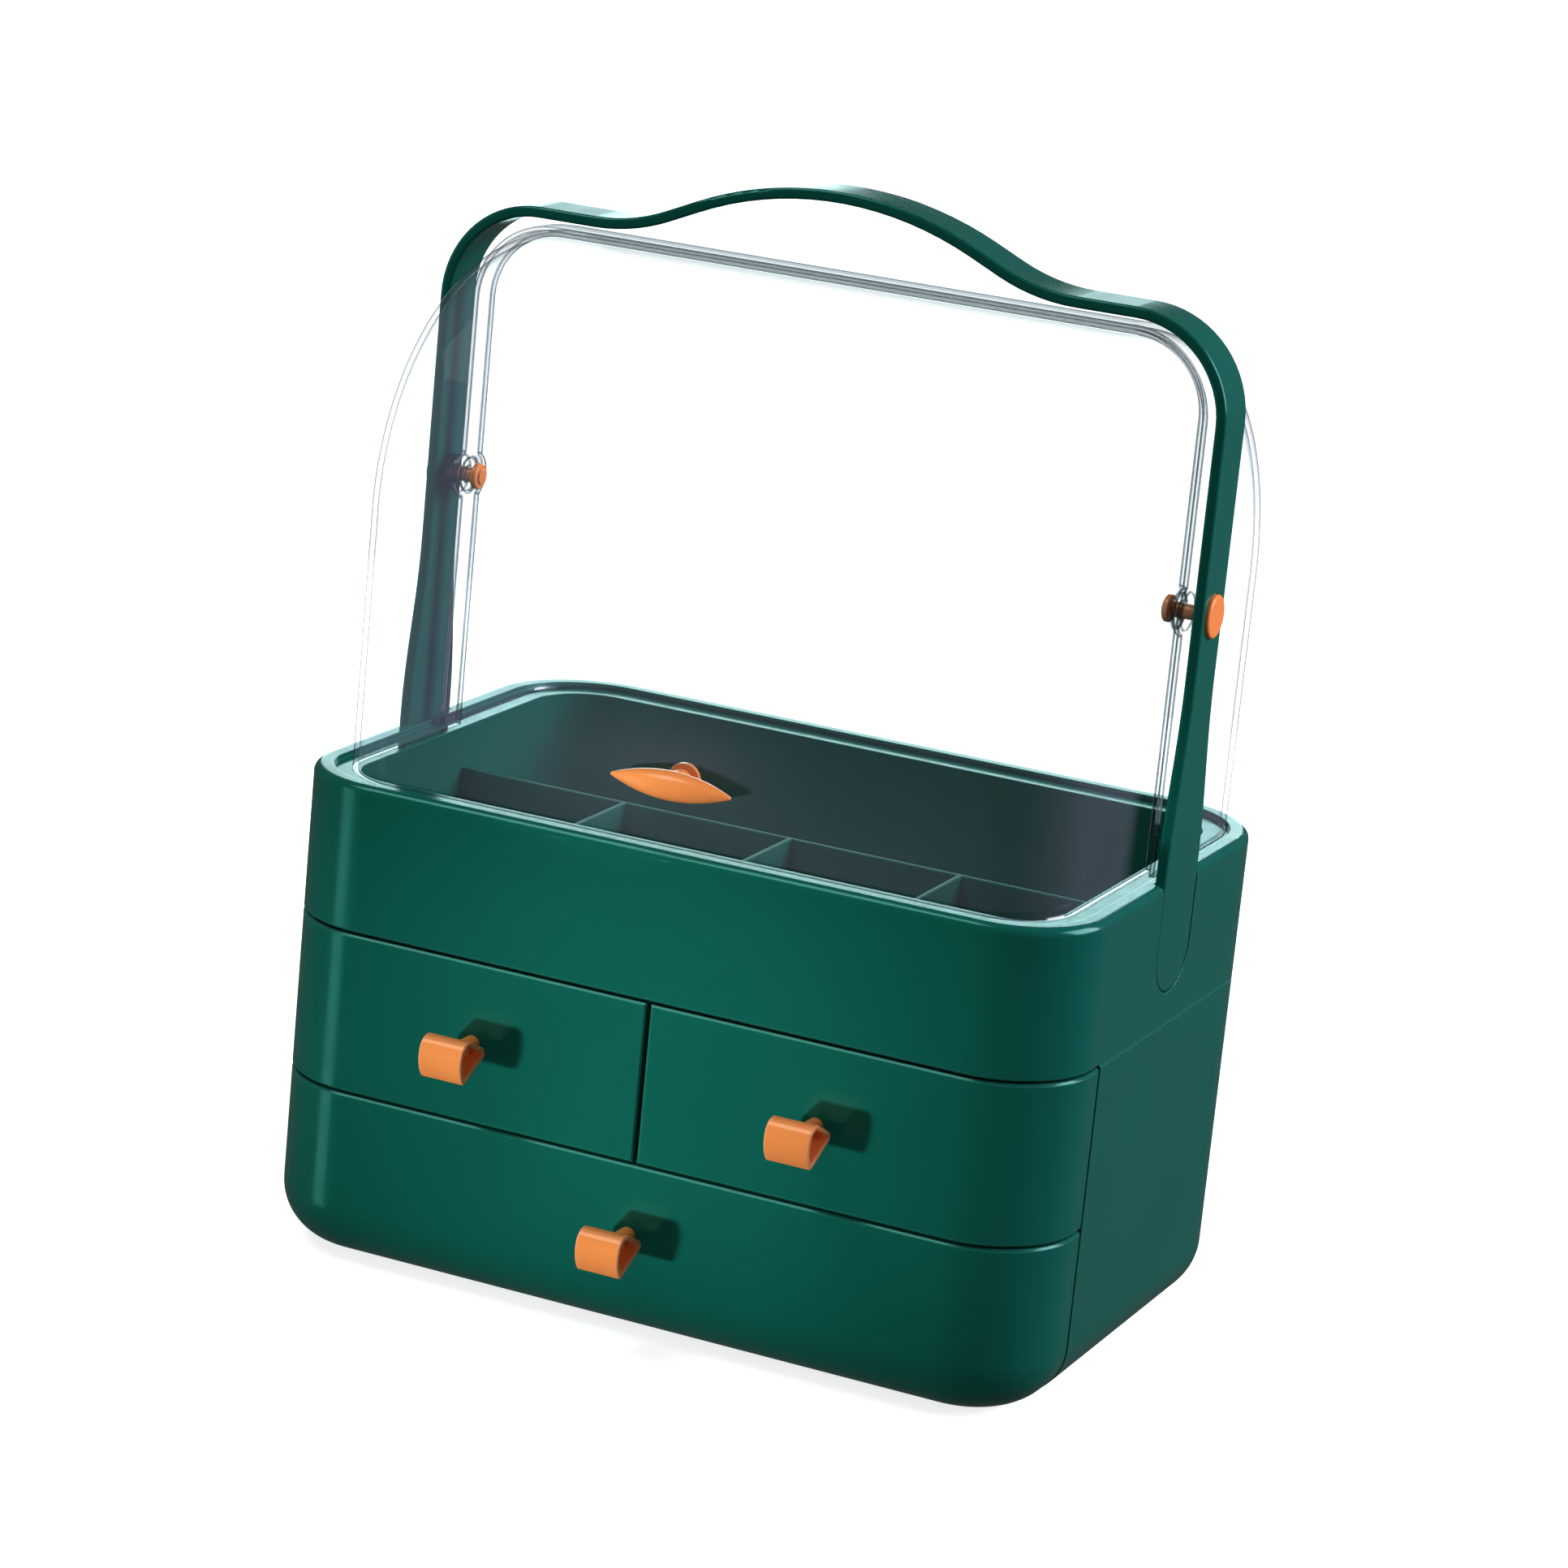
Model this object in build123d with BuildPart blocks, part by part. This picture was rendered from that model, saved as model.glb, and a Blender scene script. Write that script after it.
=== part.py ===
from build123d import *
import math
import os

os.makedirs("parts", exist_ok=True)

# Makeup storage case: a two-tier drawer cabinet, a tub for bottles on top of it, a clear
# cover that swings up inside a fixed clear back, and an arched carrying handle.
# Millimetres. +X is to the right, the front faces -Y and +Z is up. The origin lies on the
# surface that the case stands on, below the middle of its body.

# ---------------------------------------------------------------- body
width = 280.0
depth = 190.0
front_corner = 31.5  # radius of the upright front corners
rear_corner = 37.0  # radius of the upright rear corners
shell_wall = 2.5
front_lift = 0.4  # from the surface to the underside of the bottom drawer's front
foot_round = 20.0  # rounding below the body, all round
lower_seam_height = 60.0  # between the two rows of drawers
tray_seam_height = 115.0  # between the upper drawers and the tray
rim_height = 164.5
wrap_depth = 38.0  # how far the drawer fronts run back along the sides
seam = 0.9  # visible gap round a drawer front
seam_bevel = 0.7  # broken edge on each side of a seam
overrun = 1.0  # how far a cut, or a block that is joined on, runs past a face

# ---------------------------------------------------------------- inside the cabinet
shelf_thickness = 2.0
shelf_gap = 0.9  # from the shelf's edge to the side walls
groove_depth = 0.8  # the divider's foot stands in this groove
divider_thickness = 2.0
divider_gap = 0.1  # each side of the divider in its groove
ledge_width = 3.0
ledge_height = 2.0
rib_width = 3.0
rib_height = 1.0
floor_rib_place = 0.285  # of the width, either side of the middle
shelf_rib_places = (-0.39, -0.11, 0.11, 0.39)  # of the width, from the middle
rib_gap = 0.3  # between a drawer's floor and the ribs that it slides on
hook_width = 24.0  # tongues that hold the tray on the cabinet
hook_thickness = 2.0
hook_rise = 6.0
hook_gap = 0.3
hook_drawer_gap = 1.0  # from an upper box to the tongues' feet

# ---------------------------------------------------------------- drawers
front_thickness = 3.0
box_wall = 1.6
box_side_gap = 0.8  # between a drawer box and the cabinet's walls
box_round = 4.0  # rounding below an upper box
upper_box_height = 46.0
lower_box_height = 50.0
box_divider_gap = 0.8
middle_gap = 1.5  # between the two upper fronts
fixing_screw_radius = 1.5
fixing_head_radius = 3.5
fixing_head_height = 2.0
fixing_head_bevel = 0.6
fixing_depth = 4.0  # length of the screw inside what it holds
fixing_clearance = 0.1

# ---------------------------------------------------------------- pulls
pull_width = 15.5
pull_height = 15.8
pull_reach = 16.0  # from the loop's apex to the ends of its round front
pull_bulge = 3.4
pull_wall = 1.6
pull_apex_round = 2.0
pull_brow_round = 5.0  # where the strip turns over into the round front
pull_lip_round = 1.2  # below the round front
pull_edge = 0.35  # broken edges at both ends of the strip
pull_standoff = 2.5  # from the drawer front to the loop's apex
pull_stem_radius = 3.0
pull_stem_depth = 5.5  # how far the stem runs into the loop
pull_offset = 61.5  # of the upper pulls, left and right of the middle
upper_pull_height = 87.0
lower_pull_height = 35.7

# ---------------------------------------------------------------- tray
rim_band = 6.4  # flat top of the rim
rim_round = 2.8
rim_step = 1.8  # from the rim down to the ledge that the covers stand on
cover_ledge = 9.1
tray_floor = 3.0
rail_height = 2.5  # thickness of the ledge
tray_insert_height = 30.0
tray_insert_wall = 1.8
tray_insert_round = 0.5
tray_insert_gap = 0.3
tray_insert_y = 5.0
bay_width = 62.0

# ---------------------------------------------------------------- handle
handle_width = 19.0
handle_thickness = 3.7
handle_cover_gap = 3.2  # from the rear cover's top to the handle's shoulders
shoulder_radius = 34.0
crown_rise = 20.7  # of the crown above the shoulders
crown_radius = 121.0
dip_radius = 63.0
crown_slope = 24.2  # degrees, of the straight runs beside the crown
handle_edge = 1.0
blade_half_width = 15.0
blade_depth = 38.5  # how far the blades run down from the rim
shoulder_rise = 3.5  # above the rim, where the blade has its full width
neck_rise = 65.0  # above the rim, where the arm has its plain width
blade_gap = 0.3
pocket_floor = 2.5
boss_radius = 3.0
boss_gap = 0.1
boss_depths = (24.5, 10.5)  # below the rim
boss_head_radius = 4.0

# ---------------------------------------------------------------- covers and their pivots
pivot_rise = 86.3  # of the pivot line above the rim
cover_wall = 1.8
front_cover_inset = 12.0  # from the body's sides
front_cover_setback = 9.0  # from the body's front
front_cover_corner = 25.0
front_cover_lap = 4.0  # how far it runs back past the pivot line
cover_lift = 0.3  # from the ledge to the front cover's foot
cover_gap = 0.6  # between the two covers at the top
cover_side_gap = 1.4  # between the two covers at the sides
rear_cover_corner = 28.0
rear_cover_lap = 2.0
lug_radius = 8.0
collar_radius = 6.0
collar_gap = 0.3
pin_radius = 2.5
pin_gap = 0.06
pin_cap_radius = 7.2
pin_cap_height = 2.0
pin_cap_round = 0.9
pin_cap_recess = 0.6
pin_cap_gap = 0.3
retainer_radius = 4.5
retainer_thickness = 2.0
retainer_gap = 0.3
ring_bevel = 0.5  # of the retainers and of the tab's clip
pin_tail = 0.6

# ---------------------------------------------------------------- cover's finger tab
tab_length = 42.0
tab_thickness = 9.6
tab_tip = 0.5  # radius of its blunted ends
tab_rise = 21.5  # above the rim
tab_standoff = 2.6
tab_stud_radius = 2.5
tab_collar_radius = 4.0
tab_stud_gap = 0.05
tab_clip_radius = 5.5
tab_clip_thickness = 2.0

# ---------------------------------------------------------------- worked out from the above
front_y = -depth / 2
rear_y = depth / 2
split_y = front_y + wrap_depth
cabinet_front_y = split_y + seam
cabinet_inside = width / 2 - shell_wall
box_inset = shell_wall + box_side_gap
lower_front_top = lower_seam_height - seam / 2
upper_front_bottom = lower_seam_height + seam / 2
upper_front_top = tray_seam_height - seam
shelf_bottom = lower_seam_height - shelf_thickness / 2
shelf_top = shelf_bottom + shelf_thickness
lower_box_floor = shell_wall + rib_height + rib_gap
lower_box_round = foot_round - box_inset
upper_box_floor = shelf_top + rib_height + rib_gap
divider_half = divider_thickness / 2
ledge_height_z = rim_height - rim_step
tray_floor_top = tray_seam_height + tray_floor
tray_inside_inset = rim_band + cover_ledge
handle_inside = width / 2 - handle_thickness
pocket_wall_x = handle_inside - blade_gap
pocket_back_x = pocket_wall_x - pocket_floor
boss_hole_length = 4 * pocket_floor  # through the pocket's floor, and out on both sides
blade_foot = rim_height - blade_depth
blade_shoulder = rim_height + shoulder_rise
blade_neck = rim_height + neck_rise
pivot_height = rim_height + pivot_rise
tab_height = rim_height + tab_rise
front_cover_half_width = width / 2 - front_cover_inset
front_cover_reach = depth / 2 - front_cover_setback  # from the pivot line to the front
rear_cover_inside = front_cover_half_width + cover_side_gap
rear_cover_half_width = rear_cover_inside + cover_wall
rear_cover_reach = front_cover_reach + cover_gap + cover_wall
front_cover_foot = ledge_height_z + cover_lift
shoulder_height = pivot_height + rear_cover_reach + handle_cover_gap + handle_thickness
handle_top = shoulder_height + crown_rise
pull_apex_y = front_y - pull_standoff


def body_plan(inset):
    """Returns the body's plan, drawn in all round by an inset."""
    with BuildSketch() as plan:
        Rectangle(width - 2 * inset, depth - 2 * inset)
        fillet(plan.vertices().group_by(Axis.Y)[0], front_corner - inset)
        fillet(plan.vertices().group_by(Axis.Y)[-1], rear_corner - inset)
    return plan.sketch


def strip_plan(inset, left, right):
    """Returns the body's plan, drawn in by an inset, between two upright planes."""
    with BuildSketch() as plan:
        add(body_plan(inset))
        with Locations(((left + right) / 2, 0)):
            Rectangle(right - left, depth, mode=Mode.INTERSECT)
    return plan.sketch


def slab(plan, bottom, top, low_round):
    """Returns a solid of one plan between two heights, with its lower edge rounded."""
    with BuildPart() as block:
        with BuildSketch(Plane.XY.offset(bottom)):
            add(plan)
        extrude(amount=top - bottom)
        fillet(block.faces().sort_by(Axis.Z)[0].edges(), low_round)
    return block.part


def on_outline(edge):
    """Says whether an edge runs along the body's own outline."""
    middle = edge.position_at(0.5)
    outline = body_plan(0).wire().moved(Location((0, 0, middle.Z)))
    return outline.distance_to(middle) < 0.01


def wrap_ends(front):
    """Returns the upright edges where a drawer front ends on the body's sides."""
    upright = front.edges().filter_by(Axis.Z).filter_by(on_outline)
    return upright.filter_by(lambda edge: abs(edge.center().Y - split_y) < 0.01)


def side_plane(side, x, z):
    """Returns an upright plane at x on one side, facing outwards: local x, y are Y, Z."""
    return Plane((side * x, 0, z), x_dir=(0, side, 0), z_dir=(side, 0, 0))


def finish_piece(piece, name):
    """Labels a finished piece and writes its file."""
    piece.label = name
    export_step(piece, f"parts/{name}.step")


# ================================================================ cabinet
cabinet_block = slab(body_plan(0), 0, tray_seam_height, foot_round)
cabinet_hollow = slab(
    body_plan(shell_wall), shell_wall, tray_seam_height + overrun, foot_round - shell_wall
)

with BuildPart() as cabinet_shell:
    add(cabinet_block)
    add(cabinet_hollow, mode=Mode.SUBTRACT)
    split(bisect_by=Plane.XZ.offset(-cabinet_front_y), keep=Keep.BOTTOM)
    chamfer(cabinet_shell.edges().group_by(Axis.Z)[-1].filter_by(on_outline), seam_bevel)
    # Ledges along both side walls carry the shelf.
    ledge_length = rear_y - rear_corner - cabinet_front_y
    with Locations((0, cabinet_front_y + ledge_length / 2, shelf_bottom - ledge_height / 2)):
        with GridLocations(2 * cabinet_inside - ledge_width + overrun, 0, 2, 1):
            Box(ledge_width + overrun, ledge_length, ledge_height)
    # Low ribs on the floor carry the bottom drawer.
    rib_length = rear_y - foot_round - cabinet_front_y
    rib_centre_z = shell_wall + (rib_height - overrun) / 2
    with Locations((0, cabinet_front_y + rib_length / 2, rib_centre_z)):
        with GridLocations(2 * width * floor_rib_place, 0, 2, 1):
            Box(rib_width, rib_length, rib_height + overrun)
    # Tongues above the drawers reach up inside the tray's outer wall.
    hook_top = tray_seam_height + hook_rise
    hook_bottom = upper_box_floor + upper_box_height + hook_drawer_gap
    with BuildSketch(Plane.XZ) as hook:
        with BuildLine():
            Polyline(
                (cabinet_inside + overrun, hook_bottom),
                (cabinet_inside - hook_gap - hook_thickness, hook_bottom + hook_thickness),
                (cabinet_inside - hook_gap - hook_thickness, hook_top),
                (cabinet_inside - hook_gap, hook_top),
                (cabinet_inside - hook_gap, tray_seam_height - hook_gap),
                (cabinet_inside + overrun, tray_seam_height - hook_gap),
                close=True,
            )
        make_face()
        mirror(about=Plane.YZ)
    extrude(amount=hook_width / 2, both=True)
finish_piece(cabinet_shell.part, "cabinet_shell")

with BuildPart() as mid_shelf:
    with BuildSketch(Plane.XY.offset(shelf_bottom)):
        add(body_plan(shell_wall + shelf_gap))
    extrude(amount=shelf_thickness)
    # Each upper drawer slides on two ribs.
    shelf_rib_length = depth - 2 * (shell_wall + shelf_gap) - 2 * rear_corner
    for place in shelf_rib_places:
        with Locations((place * width, 0, shelf_top + (rib_height - overrun) / 2)):
            Box(rib_width, shelf_rib_length, rib_height + overrun)
    with Locations((0, 0, shelf_top)):
        Box(
            divider_thickness + 2 * divider_gap, depth, 2 * groove_depth, mode=Mode.SUBTRACT
        )
finish_piece(mid_shelf.part, "mid_shelf")

with BuildPart() as centre_divider:
    divider_front_y = front_y + front_thickness + box_side_gap
    divider_rear_y = rear_y - shell_wall - divider_gap
    divider_foot = shelf_top - groove_depth
    divider_centre_z = (divider_foot + tray_seam_height) / 2
    with BuildSketch(Plane.YZ.offset(-divider_half)):
        with Locations(((divider_front_y + divider_rear_y) / 2, divider_centre_z)):
            Rectangle(
                divider_rear_y - divider_front_y,
                tray_seam_height - divider_foot - divider_gap,
            )
    extrude(amount=divider_thickness)
finish_piece(centre_divider.part, "centre_divider")


# ================================================================ drawers
def pull_loop(x, z):
    """Returns one finger loop: a strip folded to a round-fronted teardrop, on a stem."""
    ends_y = pull_apex_y - pull_reach
    half = pull_height / 2
    with BuildPart() as loop:
        with BuildSketch(Plane.YZ.offset(x - pull_width / 2)) as strip:
            with BuildLine():
                Line((pull_apex_y, z), (ends_y, z + half))
                ThreePointArc((ends_y, z + half), (ends_y - pull_bulge, z), (ends_y, z - half))
                Line((ends_y, z - half), (pull_apex_y, z))
            make_face()
            fillet(strip.vertices().sort_by(Axis.X)[-1], pull_apex_round)
            fillet(strip.vertices().sort_by(Axis.Y)[-1], pull_brow_round)
            fillet(strip.vertices().sort_by(Axis.Y)[0], pull_lip_round)
            offset(amount=-pull_wall, mode=Mode.SUBTRACT)
        extrude(amount=pull_width)
        chamfer(loop.faces().filter_by(Axis.X).edges(), pull_edge)
        with BuildSketch(Plane.XZ.offset(-front_y)):
            with Locations((x, z)):
                Circle(pull_stem_radius)
        extrude(amount=pull_standoff + pull_stem_depth)
        with BuildSketch(Plane.XZ.offset(-front_y)):
            with Locations((x, z)):
                Circle(fixing_screw_radius)
        extrude(amount=fixing_depth + fixing_clearance, mode=Mode.SUBTRACT)
    return loop.part


def fixing_screw(x, z, seat_y):
    """Returns a screw along Y, with its head on a seat behind and its end in the pull."""
    with BuildPart() as screw:
        with BuildSketch(Plane.XZ.offset(-seat_y)):
            with Locations((x, z)):
                Circle(fixing_screw_radius - fixing_clearance / 2)
        extrude(amount=seat_y - front_y + fixing_depth)
        with BuildSketch(Plane.XZ.offset(-seat_y)):
            with Locations((x, z)):
                Circle(fixing_head_radius)
        extrude(amount=-fixing_head_height)
        chamfer(screw.faces().sort_by(Axis.Y)[-1].edges(), fixing_head_bevel)
    return screw.part


def screw_hole(x, z):
    """Cuts the pull screw's way through the walls at the front of the open part."""
    start = box_inset + box_wall + overrun
    with BuildSketch(Plane.XZ.offset(-front_y - start)) as hole:
        with Locations((x, z)):
            Circle(fixing_screw_radius + fixing_clearance)
    extrude(hole.sketch, amount=start + overrun, mode=Mode.SUBTRACT)


# Each row: name, left and right limits of the front and of its box, and the pull's place.
box_edge = divider_half + box_divider_gap
screw_seat_y = front_y + box_inset + box_wall
upper_rows = (
    ("left", -width / 2, -middle_gap / 2, -width / 2, -box_edge, -pull_offset),
    ("right", middle_gap / 2, width / 2, box_edge, width / 2, pull_offset),
)
for side, front_left, front_right, box_left, box_right, pull_x in upper_rows:
    sign = math.copysign(1, pull_x)
    # The inner plan keeps one wall's thickness beside the divider.
    inner_left = box_left + (box_wall if sign > 0 else 0)
    inner_right = box_right - (box_wall if sign < 0 else 0)
    box_block = slab(
        strip_plan(box_inset, box_left, box_right),
        upper_box_floor, upper_box_floor + upper_box_height, box_round,
    )
    box_hollow = slab(
        strip_plan(box_inset + box_wall, inner_left, inner_right),
        upper_box_floor + box_wall, upper_box_floor + upper_box_height + overrun,
        box_round - box_wall,
    )

    with BuildPart() as upper_front:
        with BuildSketch(Plane.XY.offset(upper_front_bottom)) as front_plan:
            add(strip_plan(0, front_left, front_right))
            gap_corner = front_plan.vertices().sort_by_distance((0, front_y))[0]
            chamfer(gap_corner, seam_bevel)
            add(body_plan(front_thickness), mode=Mode.SUBTRACT)
        extrude(amount=upper_front_top - upper_front_bottom)
        split(bisect_by=Plane.XZ.offset(-split_y), keep=Keep.TOP)
        chamfer(wrap_ends(upper_front), seam_bevel)
        for level in (0, -1):
            chamfer(upper_front.edges().group_by(Axis.Z)[level].filter_by(on_outline), seam_bevel)
        screw_hole(pull_x, upper_pull_height)
    finish_piece(upper_front.part, f"{side}_drawer_front")

    with BuildPart() as upper_box:
        add(box_block)
        add(box_hollow, mode=Mode.SUBTRACT)
        screw_hole(pull_x, upper_pull_height)
    finish_piece(upper_box.part, f"{side}_drawer_box")

    finish_piece(pull_loop(pull_x, upper_pull_height), f"{side}_drawer_pull")
    finish_piece(fixing_screw(pull_x, upper_pull_height, screw_seat_y), f"{side}_pull_screw")

lower_front_block = slab(body_plan(0), front_lift, lower_front_top, foot_round)
lower_front_hollow = slab(
    body_plan(front_thickness), front_lift + front_thickness, lower_front_top + overrun,
    foot_round - front_thickness,
)
with BuildPart() as lower_front:
    add(lower_front_block)
    add(lower_front_hollow, mode=Mode.SUBTRACT)
    split(bisect_by=Plane.XZ.offset(-split_y), keep=Keep.TOP)
    chamfer(wrap_ends(lower_front), seam_bevel)
    chamfer(lower_front.edges().group_by(Axis.Z)[-1].filter_by(on_outline), seam_bevel)
    screw_hole(0, lower_pull_height)
finish_piece(lower_front.part, "lower_drawer_front")

lower_box_block = slab(
    body_plan(box_inset), lower_box_floor, lower_box_floor + lower_box_height, lower_box_round
)
lower_box_hollow = slab(
    body_plan(box_inset + box_wall), lower_box_floor + box_wall,
    lower_box_floor + lower_box_height + overrun, lower_box_round - box_wall,
)
with BuildPart() as lower_box:
    add(lower_box_block)
    add(lower_box_hollow, mode=Mode.SUBTRACT)
    screw_hole(0, lower_pull_height)
finish_piece(lower_box.part, "lower_drawer_box")
finish_piece(pull_loop(0, lower_pull_height), "lower_drawer_pull")
finish_piece(fixing_screw(0, lower_pull_height, screw_seat_y), "lower_pull_screw")


# ================================================================ handle
def arch_face(inset, foot):
    """Returns the handle's arched outline, drawn in by an inset, closed at a foot height."""
    slope = math.radians(crown_slope)
    crown = crown_radius - inset
    dip = dip_radius + inset
    corner = shoulder_radius - inset
    top = handle_top - inset
    shoulder = shoulder_height - inset
    side = width / 2 - inset
    crown_end = (crown * math.sin(slope), top - crown * (1 - math.cos(slope)))
    dip_start_z = shoulder + dip * (1 - math.cos(slope))
    dip_start = (crown_end[0] + (crown_end[1] - dip_start_z) / math.tan(slope), dip_start_z)
    dip_end = (dip_start[0] + dip * math.sin(slope), shoulder)
    with BuildSketch() as face:
        with BuildLine():
            RadiusArc((0, top), crown_end, crown)
            Line(crown_end, dip_start)
            RadiusArc(dip_start, dip_end, -dip)
            Line(dip_end, (side - corner, shoulder))
            RadiusArc((side - corner, shoulder), (side, shoulder - corner), corner)
            Line((side, shoulder - corner), (side, foot))
            Line((side, foot), (0, foot))
            mirror(about=Plane.YZ)
        make_face()
    return face.sketch


def blade_face(margin, top):
    """Returns the outline of the handle's broad foot, grown by a margin, up to a height."""
    half = blade_half_width + margin
    centre_z = blade_foot + blade_half_width
    with BuildSketch() as face:
        with BuildLine():
            Line((half, top), (half, centre_z))
            ThreePointArc((half, centre_z), (0, centre_z - half), (-half, centre_z))
            Line((-half, centre_z), (-half, top))
            Line((-half, top), (half, top))
        make_face()
    return face.sketch


with BuildPart() as handle:
    with BuildSketch(Plane.XZ):
        add(arch_face(0, blade_neck))
        add(arch_face(handle_thickness, blade_neck), mode=Mode.SUBTRACT)
    extrude(amount=handle_width / 2, both=True)
    # Below the neck each arm broadens into a blade with a round end.
    half_arm = handle_width / 2
    blade_centre_z = blade_foot + blade_half_width
    with BuildSketch(Plane.YZ.offset(handle_inside), Plane.YZ.offset(-width / 2)):
        with BuildLine():
            Line((-half_arm, blade_neck), (half_arm, blade_neck))
            Spline(
                (half_arm, blade_neck), (blade_half_width, blade_shoulder),
                tangents=((0, -1), (0, -1)),
            )
            Line((blade_half_width, blade_shoulder), (blade_half_width, blade_centre_z))
            ThreePointArc(
                (blade_half_width, blade_centre_z), (0, blade_foot),
                (-blade_half_width, blade_centre_z),
            )
            Line((-blade_half_width, blade_centre_z), (-blade_half_width, blade_shoulder))
            Spline(
                (-blade_half_width, blade_shoulder), (-half_arm, blade_neck),
                tangents=((0, 1), (0, 1)),
            )
        make_face()
    extrude(amount=handle_thickness)
    handle_edges = handle.edges().filter_by(
        lambda e: abs(abs(e.center().Y) - half_arm) < 0.01 and e.center().Z > blade_neck
        or abs(e.center().X) > handle_inside - 0.01 and e.center().Z < blade_neck
        and abs(e.tangent_at(0.5).X) < 0.5
    )
    fillet(handle_edges, handle_edge)
    # Bosses on the blades pass through the tray's pockets.
    boss_length = handle_inside - pocket_back_x
    for boss_depth in boss_depths:
        with Locations((0, 0, rim_height - boss_depth)):
            with GridLocations(2 * handle_inside - boss_length, 0, 2, 1):
                Cylinder(boss_radius, boss_length, rotation=(0, 90, 0))
            Cylinder(
                fixing_screw_radius, 2 * (handle_inside + fixing_clearance) + handle_thickness,
                rotation=(0, 90, 0), mode=Mode.SUBTRACT,
            )
    # The pivot pins pass through both arms, and their caps lie in shallow seats.
    with Locations((0, 0, pivot_height)):
        Cylinder(
            pin_radius + pin_gap, width + overrun, rotation=(0, 90, 0), mode=Mode.SUBTRACT
        )
        with GridLocations(width, 0, 2, 1):
            Cylinder(
                pin_cap_radius + pin_cap_gap, 2 * pin_cap_recess,
                rotation=(0, 90, 0), mode=Mode.SUBTRACT,
            )
finish_piece(handle.part, "handle")

with BuildPart() as handle_screws:
    for boss_depth in boss_depths:
        for side in (-1, 1):
            screw_seat = side_plane(side, pocket_back_x, rim_height - boss_depth)
            with BuildSketch(screw_seat):
                Circle(fixing_screw_radius - fixing_clearance / 2)
            extrude(amount=boss_length + handle_thickness / 2)
            with BuildSketch(screw_seat):
                Circle(boss_head_radius)
            extrude(amount=-fixing_head_height)
finish_piece(handle_screws.part, "handle_screws")


# ================================================================ tray
with BuildPart() as top_tray:
    with BuildSketch(Plane.XY.offset(tray_seam_height)):
        add(body_plan(0))
    extrude(amount=rim_height - tray_seam_height)
    chamfer(top_tray.faces().sort_by(Axis.Z)[0].edges(), seam_bevel)
    fillet(top_tray.faces().sort_by(Axis.Z)[-1].edges(), rim_round)
    with BuildSketch(Plane.XY.offset(ledge_height_z)):
        add(body_plan(rim_band))
    extrude(amount=rim_step + overrun, mode=Mode.SUBTRACT)
    with BuildSketch(Plane.XY.offset(tray_floor_top)):
        add(body_plan(tray_inside_inset))
    extrude(amount=rim_height, mode=Mode.SUBTRACT)
    # The tub is double-walled, and the space between its walls is open below.
    with BuildSketch(Plane.XY.offset(tray_seam_height)):
        add(body_plan(shell_wall))
        add(body_plan(tray_inside_inset - shell_wall), mode=Mode.SUBTRACT)
    extrude(amount=rim_height - rim_step - rail_height - tray_seam_height, mode=Mode.SUBTRACT)
    # Each side has a pocket, backed by its own wall, for the handle's blade.
    for side in (-1, 1):
        with BuildSketch(side_plane(side, pocket_back_x, 0)):
            add(blade_face(blade_gap + pocket_floor, ledge_height_z - rail_height / 2))
        extrude(amount=width / 2 - pocket_back_x - shell_wall / 2)
        with BuildSketch(side_plane(side, pocket_wall_x, 0)):
            add(blade_face(blade_gap, rim_height + overrun))
        extrude(amount=handle_thickness + overrun, mode=Mode.SUBTRACT)
    for boss_depth in boss_depths:
        with Locations((0, 0, rim_height - boss_depth)):
            with GridLocations(2 * pocket_back_x, 0, 2, 1):
                Cylinder(
                    boss_radius + boss_gap, boss_hole_length,
                    rotation=(0, 90, 0), mode=Mode.SUBTRACT,
                )
finish_piece(top_tray.part, "top_tray")

# A low insert splits the tub into one long bay behind and four short bays in front.
with BuildPart() as tray_insert:
    inside_x = width / 2 - tray_inside_inset - tray_insert_gap
    inside_front_y = front_y + tray_inside_inset + tray_insert_gap
    with BuildSketch(Plane.XY.offset(tray_floor_top)):
        with Locations((0, tray_insert_y)):
            Rectangle(2 * inside_x, tray_insert_wall)
        with Locations((0, (inside_front_y + tray_insert_y) / 2)):
            with GridLocations(bay_width, 0, 3, 1):
                Rectangle(tray_insert_wall, tray_insert_y - inside_front_y)
    extrude(amount=tray_insert_height)
    fillet(tray_insert.faces().sort_by(Axis.Z)[-1].edges(), tray_insert_round)
finish_piece(tray_insert.part, "tray_insert")


# ================================================================ clear covers
def cover_section(half_width, reach, corner):
    """Returns the face between the pivot line and a cover's outline at pivot height."""
    with BuildSketch() as section:
        with Locations((0, -reach / 2)):
            Rectangle(2 * half_width, reach)
        fillet(section.vertices().group_by(Axis.Y)[0], corner)
    return section.sketch


def cover_volume(half_width, reach, corner, foot, lap):
    """Returns a quarter dome on a straight skirt, run on behind the pivot line by a lap."""
    section = cover_section(half_width, reach, corner)
    with BuildPart() as volume:
        with BuildSketch(Plane.XY.offset(pivot_height)) as plan:
            add(section)
        extrude(amount=foot - pivot_height)
        revolve(
            plan.sketch, axis=Axis((0, 0, pivot_height), (-1, 0, 0)), revolution_arc=90
        )
        with BuildSketch(Plane.XZ) as arch:
            with Locations(Location((0, pivot_height), 180)):
                add(section)
            with Locations((0, (pivot_height + foot) / 2)):
                Rectangle(2 * half_width, pivot_height - foot)
        extrude(amount=-lap)
    return volume.part


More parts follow.
